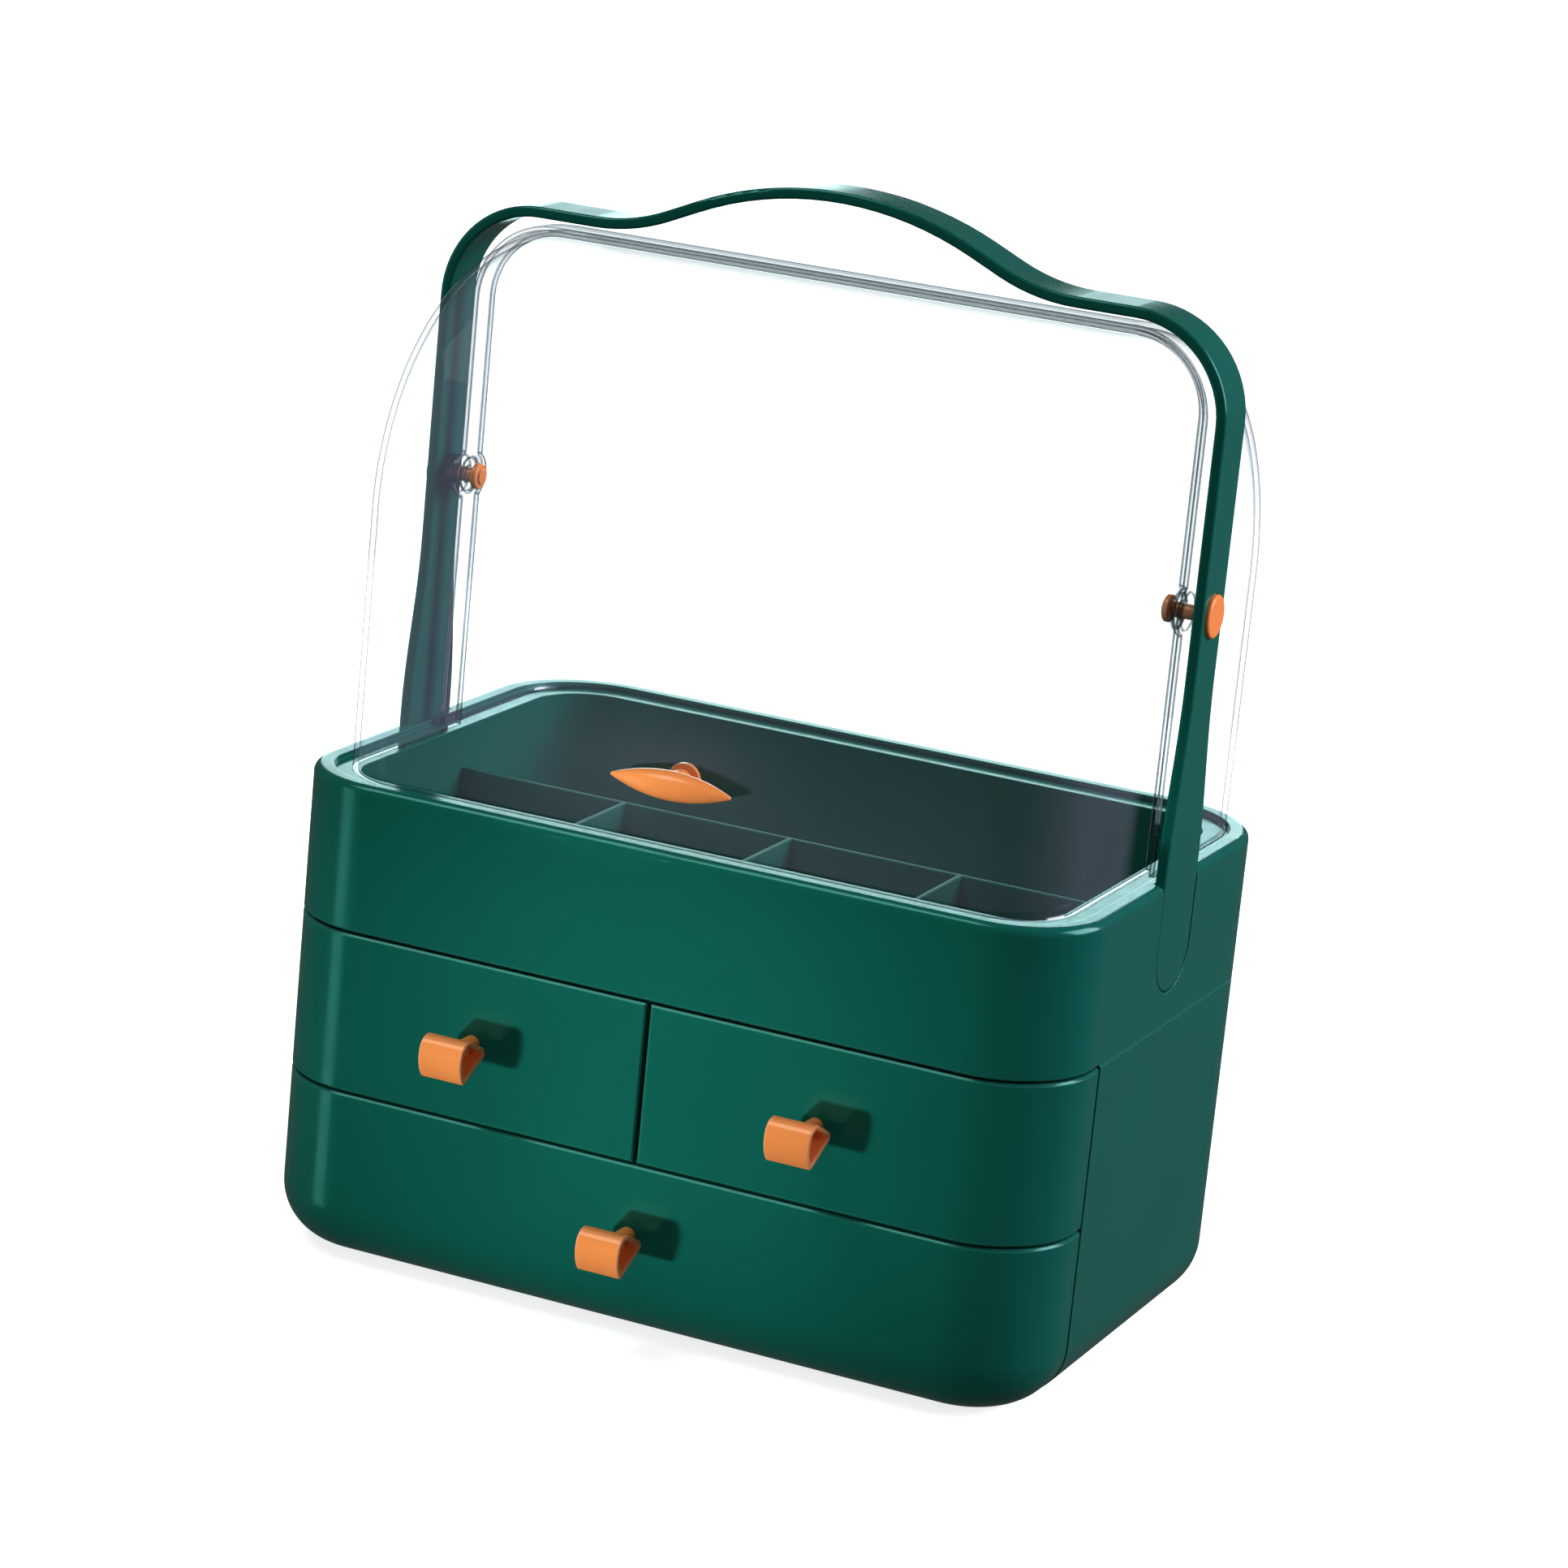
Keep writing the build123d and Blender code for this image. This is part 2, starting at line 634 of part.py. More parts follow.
def add_lugs(half_width, collar_length):
    """Adds the round lugs and their outer collars round the pivot, with their bores."""
    for side in (-1, 1):
        plane = side_plane(side, half_width - cover_wall, pivot_height)
        with BuildSketch(plane) as lug:
            Circle(lug_radius)
        extrude(lug.sketch, amount=cover_wall)
        with BuildSketch(plane) as collar:
            Circle(collar_radius)
        extrude(collar.sketch, amount=cover_wall + collar_length)
        with BuildSketch(plane) as bore:
            Circle(pin_radius + pin_gap)
        extrude(bore.sketch, amount=cover_wall + collar_length, mode=Mode.SUBTRACT)


front_outside = cover_volume(
    front_cover_half_width, front_cover_reach, front_cover_corner,
    front_cover_foot, front_cover_lap,
)
front_inside = cover_volume(
    front_cover_half_width - cover_wall, front_cover_reach - cover_wall,
    front_cover_corner - cover_wall, front_cover_foot - overrun, front_cover_lap + overrun,
)
rear_outside = cover_volume(
    rear_cover_half_width, rear_cover_reach, rear_cover_corner,
    ledge_height_z, rear_cover_lap,
)
rear_inside = cover_volume(
    rear_cover_inside, rear_cover_reach - cover_wall, rear_cover_corner - cover_wall,
    ledge_height_z - overrun, rear_cover_lap + overrun,
)

with BuildPart() as front_cover:
    add(front_outside)
    add(front_inside, mode=Mode.SUBTRACT)
    add_lugs(front_cover_half_width, cover_side_gap - collar_gap)
    with BuildSketch(Plane.XZ.offset(front_cover_reach + overrun)):
        with Locations((0, tab_height)):
            Circle(tab_stud_radius + tab_stud_gap)
    extrude(amount=-2 * cover_wall - overrun, mode=Mode.SUBTRACT)
finish_piece(front_cover.part, "front_cover")

with BuildPart() as rear_cover:
    add(rear_outside)
    add(rear_inside, mode=Mode.SUBTRACT)
    mirror(about=Plane.XZ, mode=Mode.REPLACE)
    add_lugs(rear_cover_half_width, handle_inside - collar_gap - rear_cover_half_width)
finish_piece(rear_cover.part, "rear_cover")

# ================================================================ pivots
retainer_x = front_cover_half_width - cover_wall - retainer_gap - retainer_thickness
for name, side in (("left", -1), ("right", 1)):
    with BuildPart() as pivot_pin:
        with BuildSketch(side_plane(side, retainer_x - pin_tail, pivot_height)):
            Circle(pin_radius)
        extrude(amount=width / 2 - pin_cap_recess - retainer_x + pin_tail)
        with BuildSketch(side_plane(side, width / 2 - pin_cap_recess, pivot_height)):
            Circle(pin_cap_radius)
        extrude(amount=pin_cap_height)
        cap_face = pivot_pin.faces().sort_by(Axis.X)[-1 if side > 0 else 0]
        fillet(cap_face.edges(), pin_cap_round)
    finish_piece(pivot_pin.part, f"{name}_pivot_pin")

    with BuildPart() as pin_retainer:
        with BuildSketch(side_plane(side, retainer_x, pivot_height)):
            Circle(retainer_radius)
            Circle(pin_radius, mode=Mode.SUBTRACT)
        extrude(amount=retainer_thickness)
        inner_face = pin_retainer.faces().filter_by(Axis.X).sort_by(Axis.X)[0 if side > 0 else -1]
        chamfer(inner_face.outer_wire().edges(), ring_bevel)
    finish_piece(pin_retainer.part, f"{name}_pin_retainer")

# ================================================================ cover's finger tab
tab_half = tab_length / 2
tab_y = -front_cover_reach - tab_standoff - tab_thickness / 2
with BuildPart() as cover_tab:
    with BuildSketch(Plane.XY.offset(tab_height)):
        with BuildLine():
            Spline(
                (-tab_half, tab_y - tab_tip), (0, tab_y - tab_thickness / 2),
                (tab_half, tab_y - tab_tip),
            )
            Polyline(
                (tab_half, tab_y - tab_tip), (tab_half, tab_y), (-tab_half, tab_y),
                (-tab_half, tab_y - tab_tip),
            )
        make_face()
    revolve(axis=Axis((0, tab_y, tab_height), (1, 0, 0)))
    with BuildSketch(Plane.XZ.offset(-tab_y)):
        with Locations((0, tab_height)):
            Circle(tab_stud_radius)
    extrude(amount=tab_y + front_cover_reach - cover_wall - tab_clip_thickness)
    with BuildSketch(Plane.XZ.offset(-tab_y)):
        with Locations((0, tab_height)):
            Circle(tab_collar_radius)
    extrude(amount=tab_y + front_cover_reach)
finish_piece(cover_tab.part, "cover_tab")

with BuildPart() as tab_clip:
    with BuildSketch(Plane.XZ.offset(front_cover_reach - cover_wall)):
        with Locations((0, tab_height)):
            Circle(tab_clip_radius)
            Circle(tab_stud_radius + tab_stud_gap, mode=Mode.SUBTRACT)
    extrude(amount=-tab_clip_thickness)
    chamfer(tab_clip.faces().sort_by(Axis.Y)[-1].outer_wire().edges(), ring_bevel)
finish_piece(tab_clip.part, "tab_clip")
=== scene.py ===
"""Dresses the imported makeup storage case: its finishes, its pull screws, a studio and the camera."""

import logging
import math
from dataclasses import dataclass
from enum import Enum

import bmesh
import bpy
from mathutils import Matrix, Vector


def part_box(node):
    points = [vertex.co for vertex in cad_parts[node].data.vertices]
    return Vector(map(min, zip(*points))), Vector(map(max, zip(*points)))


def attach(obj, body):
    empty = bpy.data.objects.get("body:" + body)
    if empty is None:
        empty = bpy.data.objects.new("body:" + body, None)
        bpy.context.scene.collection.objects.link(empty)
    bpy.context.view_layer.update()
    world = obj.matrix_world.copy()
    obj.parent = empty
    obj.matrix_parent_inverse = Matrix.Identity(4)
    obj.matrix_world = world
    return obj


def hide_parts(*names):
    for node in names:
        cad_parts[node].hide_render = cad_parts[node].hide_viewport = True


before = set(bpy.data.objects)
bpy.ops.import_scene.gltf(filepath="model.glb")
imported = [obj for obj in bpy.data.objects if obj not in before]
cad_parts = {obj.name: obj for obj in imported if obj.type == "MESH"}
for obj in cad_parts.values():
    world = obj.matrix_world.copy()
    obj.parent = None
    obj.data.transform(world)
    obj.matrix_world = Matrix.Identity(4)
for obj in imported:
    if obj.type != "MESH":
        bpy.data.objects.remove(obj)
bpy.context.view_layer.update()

LOG = logging.getLogger("makeup_case")
MM = 0.001
WHITE = "#ffffff"
MIX_FACTOR, MIX_FIRST, MIX_SECOND, MIX_RESULT = 0, 6, 7, 2  # a Mix node's sockets, as it mixes colours
NOISE_LOW, NOISE_HIGH = 0.3, 0.7  # nearly all of a noise texture's values lie between these
EDGE_SAMPLES = 6  # the rays by which a bevel node feels for an edge


# ---------------------------------------------------------------- colours, nodes and objects
def linear(hex_colour: str) -> tuple[float, float, float, float]:
    """Turns an sRGB hex colour to linear light.

    Args:
        hex_colour: six hex digits after a hash sign.

    Returns:
        Red, green, blue and a full alpha, for a shader socket.
    """
    channels = [int(hex_colour[start:start + 2], 16) / 255 for start in (1, 3, 5)]
    red, green, blue = (c / 12.92 if c <= 0.04045 else ((c + 0.055) / 1.055) ** 2.4 for c in channels)
    return red, green, blue, 1.0


def add_node(
    tree: bpy.types.NodeTree,
    kind: str,
    values: dict[str | int, object] | None = None,
    links: dict[str | int, bpy.types.NodeSocket] | None = None,
    **settings: object,
) -> bpy.types.Node:
    """Adds one node with its settings and links.

    Args:
        tree: the tree that takes the node.
        kind: the node's type name.
        values: plain values of its inputs, by name or number.
        links: what feeds its other inputs, by name or number.
        settings: attributes of the node itself.

    Returns:
        The new node.
    """
    node = tree.nodes.new(kind)
    for name, value in settings.items():
        setattr(node, name, value)
    for name, value in (values or {}).items():
        node.inputs[name].default_value = value
    for name, source in (links or {}).items():
        tree.links.new(source, node.inputs[name])
    return node


def new_material(name: str) -> tuple[bpy.types.Material, bpy.types.NodeTree]:
    """Starts a material with an empty node tree.

    Args:
        name: the material's name.

    Returns:
        The material and its tree.
    """
    material = bpy.data.materials.new(name)
    material.use_nodes = True
    material.node_tree.nodes.clear()
    return material, material.node_tree


def edge_mask(
    tree: bpy.types.NodeTree, radius: float, start: float, full: float, share: float = 1.0
) -> tuple[bpy.types.NodeSocket, bpy.types.NodeSocket]:
    """Finds where a surface lies near one of its edges, from how far rounding the edge turns it there.

    Args:
        tree: the material's tree.
        radius: how far from an edge the rounding reaches.
        start: the cosine of the turn at which the mask starts.
        full: the cosine at which the mask is full.
        share: the full mask's value.

    Returns:
        The rounded normal, and the mask.
    """
    rounded = add_node(tree, "ShaderNodeBevel", {"Radius": radius}, samples=EDGE_SAMPLES).outputs[0]
    true_normal = add_node(tree, "ShaderNodeNewGeometry").outputs["Normal"]
    facing = add_node(
        tree, "ShaderNodeVectorMath", links={0: rounded, 1: true_normal}, operation="DOT_PRODUCT"
    ).outputs["Value"]
    mask = add_node(
        tree, "ShaderNodeMapRange", {"From Min": start, "From Max": full, "To Max": share}, {"Value": facing}
    ).outputs[0]
    return rounded, mask


def add_object(name: str, data: bpy.types.ID) -> bpy.types.Object:
    """Adds an object to the scene.

    Args:
        name: the object's name.
        data: its mesh, lamp or camera.

    Returns:
        The new object.
    """
    added = bpy.data.objects.new(name, data)
    bpy.context.scene.collection.objects.link(added)
    return added


def add_shape(name: str, shape: bmesh.types.BMesh) -> bpy.types.Object:
    """Adds a drawn shape to the scene.

    Args:
        name: the object's name.
        shape: what is drawn, which is used up.

    Returns:
        The new object.
    """
    mesh = bpy.data.meshes.new(name)
    shape.to_mesh(mesh)
    shape.free()
    return add_object(name, mesh)


# ---------------------------------------------------------------- finishes
@dataclass(frozen=True)
class Relief:
    """The fine relief that a mould's steel leaves on plastic, and how far it dulls the gloss."""

    wave_spacing: float
    wave_depth: float
    grain_spacing: float
    grain_depth: float
    roughness: float


class MouldSurface(Enum):
    """How the steel of a mould was finished."""

    POLISHED = Relief(
        wave_spacing=14 * MM, wave_depth=0.008 * MM, grain_spacing=0.9 * MM, grain_depth=0.0006 * MM,
        roughness=0.17,
    )
    # The real texture of about 0.1 mm is drawn at 0.7 mm, or it would not show at this distance.
    SPARK_ERODED = Relief(
        wave_spacing=22 * MM, wave_depth=0.006 * MM, grain_spacing=0.7 * MM, grain_depth=0.006 * MM,
        roughness=0.44,
    )


@dataclass(frozen=True)
class MouldedAbs:
    """Injection-moulded ABS, coloured in the mass.

    The slow drift of its colour is masterbatch that never mixes fully, its edges carry a painted highlight,
    a paler colour where their rounding would catch the light, and its gloss is uneven, as on plastic that is
    wiped by hand.
    """

    name: str
    colour: str
    drift_colour: str
    # Colour of the painted highlight along the edges.
    painted_edge_colour: str
    surface: MouldSurface
    gloss_tint: str = WHITE
    ior: float = 1.53
    gloss_spread: float = 0.04
    drift_size: float = 60 * MM
    handling_size: float = 9 * MM
    edge_radius: float = 0.45 * MM
    edge_start: float = 0.995
    edge_full: float = 0.90
    # Share of the painted edge highlight where it is full.
    edge_highlight_share: float = 0.5
    ejector_pitch: float = 0.0
    ejector_radius: float = 3.0 * MM
    ejector_blur: float = 0.04
    ejector_depth: float = 0.08 * MM
    ejector_level: float = 0.95

    def material(self) -> bpy.types.Material:
        """Builds the material."""
        material, tree = new_material(self.name)
        place = add_node(tree, "ShaderNodeTexCoord").outputs["Object"]
        normal, edge = edge_mask(tree, self.edge_radius, self.edge_start, self.edge_full, self.edge_highlight_share)
        drift = add_node(
            tree, "ShaderNodeTexNoise", {"Scale": 1 / self.drift_size, "Detail": 3.0}, {"Vector": place}
        ).outputs[0]
        body = add_node(
            tree, "ShaderNodeMix", {MIX_FIRST: linear(self.colour), MIX_SECOND: linear(self.drift_colour)},
            {MIX_FACTOR: drift}, data_type="RGBA",
        ).outputs[MIX_RESULT]
        # Paints a highlight along the edges: a paler colour where the rounding would catch the light.
        colour = add_node(
            tree, "ShaderNodeMix", {MIX_SECOND: linear(self.painted_edge_colour)},
            {MIX_FACTOR: edge, MIX_FIRST: body}, data_type="RGBA",
        ).outputs[MIX_RESULT]
        handling = add_node(
            tree, "ShaderNodeTexNoise", {"Scale": 1 / self.handling_size, "Detail": 5.0}, {"Vector": place}
        ).outputs[0]
        roughness = self.surface.value.roughness
        gloss = add_node(
            tree, "ShaderNodeMapRange",
            {
                "From Min": NOISE_LOW, "From Max": NOISE_HIGH,
                "To Min": roughness - self.gloss_spread, "To Max": roughness + self.gloss_spread,
            },
            {"Value": handling},
        ).outputs[0]
        for height, depth in self.heights(tree, place):
            normal = add_node(
                tree, "ShaderNodeBump", {"Distance": depth}, {"Height": height, "Normal": normal}
            ).outputs[0]
        shader = add_node(
            tree, "ShaderNodeBsdfPrincipled", {"IOR": self.ior, "Specular Tint": linear(self.gloss_tint)},
            {"Base Color": colour, "Roughness": gloss, "Normal": normal},
        )
        add_node(tree, "ShaderNodeOutputMaterial", links={"Surface": shader.outputs[0]})
        return material

    def heights(
        self, tree: bpy.types.NodeTree, place: bpy.types.NodeSocket
    ) -> list[tuple[bpy.types.NodeSocket, float]]:
        """Adds the surface's height patterns.

        Args:
            tree: the material's tree.
            place: where a point lies on the piece.

        Returns:
            Each pattern's socket with its depth in metres.
        """
        relief = self.surface.value
        wave = add_node(
            tree, "ShaderNodeTexNoise", {"Scale": 1 / relief.wave_spacing, "Detail": 1.0}, {"Vector": place}
        )
        grain = add_node(
            tree, "ShaderNodeTexNoise", {"Scale": 1 / relief.grain_spacing, "Detail": 2.0}, {"Vector": place}
        )
        found = [(wave.outputs[0], relief.wave_depth), (grain.outputs[0], relief.grain_depth)]
        if self.ejector_pitch:
            found.append((self.ejector_marks(tree, place), self.ejector_depth))
        return found

    def ejector_marks(
        self, tree: bpy.types.NodeTree, place: bpy.types.NodeSocket
    ) -> bpy.types.NodeSocket:
        """Draws the round witness marks that ejector pins leave on an upward face.

        Args:
            tree: the material's tree.
            place: where a point lies on the piece.

        Returns:
            A socket that is 1 inside a mark and 0 outside.
        """
        cells = add_node(
            tree, "ShaderNodeTexVoronoi", {"Scale": 1 / self.ejector_pitch, "Randomness": 0.0},
            {"Vector": place}, voronoi_dimensions="2D",
        )
        edge = self.ejector_radius / self.ejector_pitch
        inside = add_node(
            tree, "ShaderNodeMapRange",
            {"From Min": edge * (1 + self.ejector_blur), "From Max": edge * (1 - self.ejector_blur)},
            {"Value": cells.outputs["Distance"]},
        )
        true_normal = add_node(tree, "ShaderNodeNewGeometry").outputs["Normal"]
        upward = add_node(tree, "ShaderNodeSeparateXYZ", links={0: true_normal}).outputs["Z"]
        level = add_node(
            tree, "ShaderNodeMath", {1: self.ejector_level}, {0: upward}, operation="GREATER_THAN"
        )
        return add_node(
            tree, "ShaderNodeMath", links={0: inside.outputs[0], 1: level.outputs[0]}, operation="MULTIPLY"
        ).outputs[0]


@dataclass(frozen=True)
class ClearAcrylic:
    """Injection-moulded clear acrylic.

    Its thin walls hardly show: they let the view through straight, mirror a little, and draw a grey outline,
    a painted dark reflection, only where they are seen on edge. Near the rims it bends the light fully and is
    tinted near black there: the bending is real and the dark tint is painted shade, for light that leaves the
    wall.
    The slow waviness is the skin's uneven cooling, and a faint haze is its fine wiping scratches. The lamps'
    light and mirrored light pass straight through.
    """

    name: str
    colour: str = "#fcfefe"
    haze_colour: str = "#d2defc"
    haze_share: float = 0.065
    mirrored_share: float = 0.15
    ior: float = 1.49
    polished_roughness: float = 0.006
    wiped_roughness: float = 0.024
    wipe_size: float = 12 * MM
    wave_spacing: float = 45 * MM
    wave_depth: float = 0.02 * MM
    # Colour of the grey outline, a painted dark reflection where a wall is seen on edge.
    painted_outline_colour: str = "#30383e"
    # The outline starts, and is full, where the skin mirrors these shares of the light.
    outline_start: float = 0.16
    outline_full: float = 0.70
    # Colour of the rims: a near-black tint, painted shade over the real bending.
    painted_edge_colour: str = "#10181e"
    edge_radius: float = 1.7 * MM
    edge_start: float = 0.998
    edge_full: float = 0.97

    def material(self) -> bpy.types.Material:
        """Builds the material."""
        material, tree = new_material(self.name)
        place = add_node(tree, "ShaderNodeTexCoord").outputs["Object"]
        wave = add_node(
            tree, "ShaderNodeTexNoise", {"Scale": 1 / self.wave_spacing}, {"Vector": place}
        ).outputs[0]
        normal = add_node(tree, "ShaderNodeBump", {"Distance": self.wave_depth}, {"Height": wave}).outputs[0]
        wiped = add_node(
            tree, "ShaderNodeTexNoise", {"Scale": 1 / self.wipe_size, "Detail": 4.0}, {"Vector": place}
        ).outputs[0]
        gloss = add_node(
            tree, "ShaderNodeMapRange",
            {"To Min": self.polished_roughness, "To Max": self.wiped_roughness}, {"Value": wiped},
        ).outputs[0]
        # The rim layer bends the light for real. Its near-black colour is painted shade.
        rim = add_node(
            tree, "ShaderNodeBsdfPrincipled",
            {"Base Color": linear(self.painted_edge_colour), "IOR": self.ior, "Transmission Weight": 1.0},
            {"Roughness": gloss, "Normal": normal},
        ).outputs[0]
        unbent = add_node(tree, "ShaderNodeBsdfTransparent", {"Color": linear(self.colour)}).outputs[0]
        edge = edge_mask(tree, self.edge_radius, self.edge_start, self.edge_full)[1]
        shader = self.wall(tree, gloss, normal)
        for share, layer in ((edge, rim), (self.passing(tree), unbent)):
            shader = add_node(tree, "ShaderNodeMixShader", links={0: share, 1: shader, 2: layer}).outputs[0]
        add_node(tree, "ShaderNodeOutputMaterial", links={"Surface": shader})
        return material

    def wall(
        self, tree: bpy.types.NodeTree, gloss: bpy.types.NodeSocket, normal: bpy.types.NodeSocket
    ) -> bpy.types.NodeSocket:
        """Draws a thin wall: clear, grey on edge as a painted dark reflection, and with a little mirroring
        and haze on its outer skin.

        Args:
            tree: the material's tree.
            gloss: the skin's roughness.
            normal: the skin's wavy normal.

        Returns:
            The wall's shader.
        """
        inner = add_node(tree, "ShaderNodeNewGeometry").outputs["Backfacing"]
        outer = add_node(tree, "ShaderNodeMath", {0: 1.0}, {1: inner}, operation="SUBTRACT").outputs[0]
        fresnel = add_node(tree, "ShaderNodeFresnel", {"IOR": self.ior}, {"Normal": normal}).outputs[0]
        slant = add_node(
            tree, "ShaderNodeMath", links={0: fresnel, 1: outer}, operation="MULTIPLY"
        ).outputs[0]
        outline = add_node(
            tree, "ShaderNodeMapRange", {"From Min": self.outline_start, "From Max": self.outline_full},
            {"Value": slant},
        ).outputs[0]
        # The grey on edge is a painted dark reflection, laid into the wall's see-through colour.
        colour = add_node(
            tree, "ShaderNodeMix", {MIX_FIRST: linear(self.colour), MIX_SECOND: linear(self.painted_outline_colour)},
            {MIX_FACTOR: outline}, data_type="RGBA",
        ).outputs[MIX_RESULT]
        shader = add_node(tree, "ShaderNodeBsdfTransparent", links={"Color": colour}).outputs[0]
        mirror = add_node(
            tree, "ShaderNodeBsdfAnisotropic", links={"Roughness": gloss, "Normal": normal}
        ).outputs[0]
        haze = add_node(tree, "ShaderNodeBsdfDiffuse", {"Color": linear(self.haze_colour)}).outputs[0]
        for share, where, layer in (
            (self.mirrored_share, slant, mirror), (self.haze_share, outer, haze),
        ):
            amount = add_node(tree, "ShaderNodeMath", {1: share}, {0: where}, operation="MULTIPLY").outputs[0]
            shader = add_node(tree, "ShaderNodeMixShader", links={0: amount, 1: shader, 2: layer}).outputs[0]
        return shader

    def passing(self, tree: bpy.types.NodeTree) -> bpy.types.NodeSocket:
        """Tells which rays the acrylic neither bends nor colours: the lamps' light and mirrored views.

        Args:
            tree: the material's tree.

        Returns:
            A socket that is 1 for such a ray and 0 for any other.
        """
        path = add_node(tree, "ShaderNodeLightPath").outputs
        lighting = add_node(
            tree, "ShaderNodeMath", links={0: path["Is Shadow Ray"], 1: path["Is Diffuse Ray"]},
            operation="MAXIMUM",
        ).outputs[0]
        # A ray that was bent by the acrylic counts as glossy too, and it is bent back on its way out.
        mirrored = add_node(
            tree, "ShaderNodeMath", links={0: path["Is Glossy Ray"], 1: path["Is Transmission Ray"]},
            operation="SUBTRACT",
        ).outputs[0]
        return add_node(
            tree, "ShaderNodeMath", links={0: lighting, 1: mirrored}, operation="MAXIMUM"
        ).outputs[0]


@dataclass(frozen=True)
class ZincPlatedSteel:
    """Turned steel with a thin bright zinc plating: fine rings round its axis under a soft metal gloss."""

    name: str
    colour: str = "#b4b8bc"
    bright_roughness: float = 0.24
    dull_roughness: float = 0.42
    spot_size: float = 1.5 * MM
    ring_spacing: float = 0.3 * MM
    ring_depth: float = 0.003 * MM
    ring_scale: float = 0.3  # a wave texture's rings lie about this far apart at scale 1

    def material(self) -> bpy.types.Material:
        """Builds the material."""
        material, tree = new_material(self.name)
        place = add_node(tree, "ShaderNodeTexCoord").outputs["Object"]
        rings = add_node(
            tree, "ShaderNodeTexWave", {"Scale": self.ring_scale / self.ring_spacing, "Distortion": 0.4},
            {"Vector": place}, wave_type="RINGS", rings_direction="Z",
        ).outputs[0]
        spots = add_node(
            tree, "ShaderNodeTexNoise", {"Scale": 1 / self.spot_size}, {"Vector": place}
        ).outputs[0]
        gloss = add_node(
            tree, "ShaderNodeMapRange", {"To Min": self.bright_roughness, "To Max": self.dull_roughness},
            {"Value": spots},
        ).outputs[0]
        normal = add_node(tree, "ShaderNodeBump", {"Distance": self.ring_depth}, {"Height": rings}).outputs[0]
        shader = add_node(
            tree, "ShaderNodeBsdfPrincipled", {"Base Color": linear(self.colour), "Metallic": 1.0},
            {"Roughness": gloss, "Normal": normal},
        )
        add_node(tree, "ShaderNodeOutputMaterial", links={"Surface": shader.outputs[0]})
        return material


@dataclass(frozen=True)
class StudioPaper:
    """Matt white paper, lit from behind so that it stays pale, with only a faint shadow on it.

    It glows more further out, where it is seen through the clear covers.
    """

    name: str
    colour: str = "#f4f5f5"
    near_glow: float = 0.80
    far_glow: float = 1.20
    near_radius: float = 0.25
    far_radius: float = 0.80
    fibre_size: float = 1.2 * MM
    fibre_depth: float = 0.02 * MM

    def material(self) -> bpy.types.Material:
        """Builds the material."""
        material, tree = new_material(self.name)
        place = add_node(tree, "ShaderNodeTexCoord").outputs["Object"]
        fibre = add_node(
            tree, "ShaderNodeTexNoise", {"Scale": 1 / self.fibre_size}, {"Vector": place}
        ).outputs[0]
        normal = add_node(
            tree, "ShaderNodeBump", {"Distance": self.fibre_depth}, {"Height": fibre}
        ).outputs[0]
        outward = add_node(
            tree, "ShaderNodeVectorMath", links={0: place}, operation="LENGTH"
        ).outputs["Value"]
        glow = add_node(
            tree, "ShaderNodeMapRange",
            {
                "From Min": self.near_radius, "From Max": self.far_radius,
                "To Min": self.near_glow, "To Max": self.far_glow,
            },
            {"Value": outward},
        ).outputs[0]
        shader = add_node(
            tree, "ShaderNodeBsdfPrincipled",
            {
                "Base Color": linear(self.colour), "Roughness": 1.0, "Specular IOR Level": 0.0,
                "Emission Color": linear(WHITE),
            },
            {"Normal": normal, "Emission Strength": glow},
        )
        add_node(tree, "ShaderNodeOutputMaterial", links={"Surface": shader.outputs[0]})
        return material


Finish = MouldedAbs | ClearAcrylic | ZincPlatedSteel | StudioPaper

# The outer green pieces: a deep gloss whose reflections lean to green, with a painted highlight along their
# edges.
EMERALD_GLOSS = MouldedAbs(
    "emerald_abs_polished", colour="#0e6356", drift_colour="#0c5b4f", painted_edge_colour="#4c9a8a",
    surface=MouldSurface.POLISHED, gloss_tint="#8cffee", edge_radius=0.6 * MM,
)
# The inner green pieces: duller, with a fine grain, the marks of ejector pins and a painted highlight along
# their edges.
EMERALD_SATIN = MouldedAbs(
    "emerald_abs_spark_eroded", colour="#0d5a4d", drift_colour="#0b5246", painted_edge_colour="#3d8576",
    surface=MouldSurface.SPARK_ERODED, gloss_tint="#8cffee", ejector_pitch=46 * MM,
)
# The small orange pieces: bright and glossy, with a painted highlight in a pale colour along their edges.
ORANGE_GLOSS = MouldedAbs(
    "orange_abs_polished", colour="#ff9d55", drift_colour="#ff954d", painted_edge_colour="#ffe2c0",
    surface=MouldSurface.POLISHED, gloss_tint="#ffe4c8", drift_size=18 * MM, edge_highlight_share=0.8,
)
CLEAR_COVER = ClearAcrylic("clear_acrylic_moulded")
SCREW_STEEL = ZincPlatedSteel("zinc_plated_steel_turned")
FLOOR_PAPER = StudioPaper("white_paper_matt")


class Palette:
    """Builds each finish once and hands it out."""

    def __init__(self) -> None:
        """Starts with nothing built."""
        self.built: dict[str, bpy.types.Material] = {}

    def get(self, finish: Finish) -> bpy.types.Material:
        """Returns a finish's material.

        Args:
            finish: which finish is asked for.

        Returns:
            Its material, built on the first call.
        """
        if finish.name not in self.built:
            self.built[finish.name] = finish.material()
        return self.built[finish.name]

    def dress(self, node: str, finish: Finish) -> None:
        """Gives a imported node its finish.

        Args:
            node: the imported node's name.
            finish: what it is made of.
        """
        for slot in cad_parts[node].material_slots:
            slot.material = self.get(finish)
        LOG.info("%s: %s", node, finish.name)


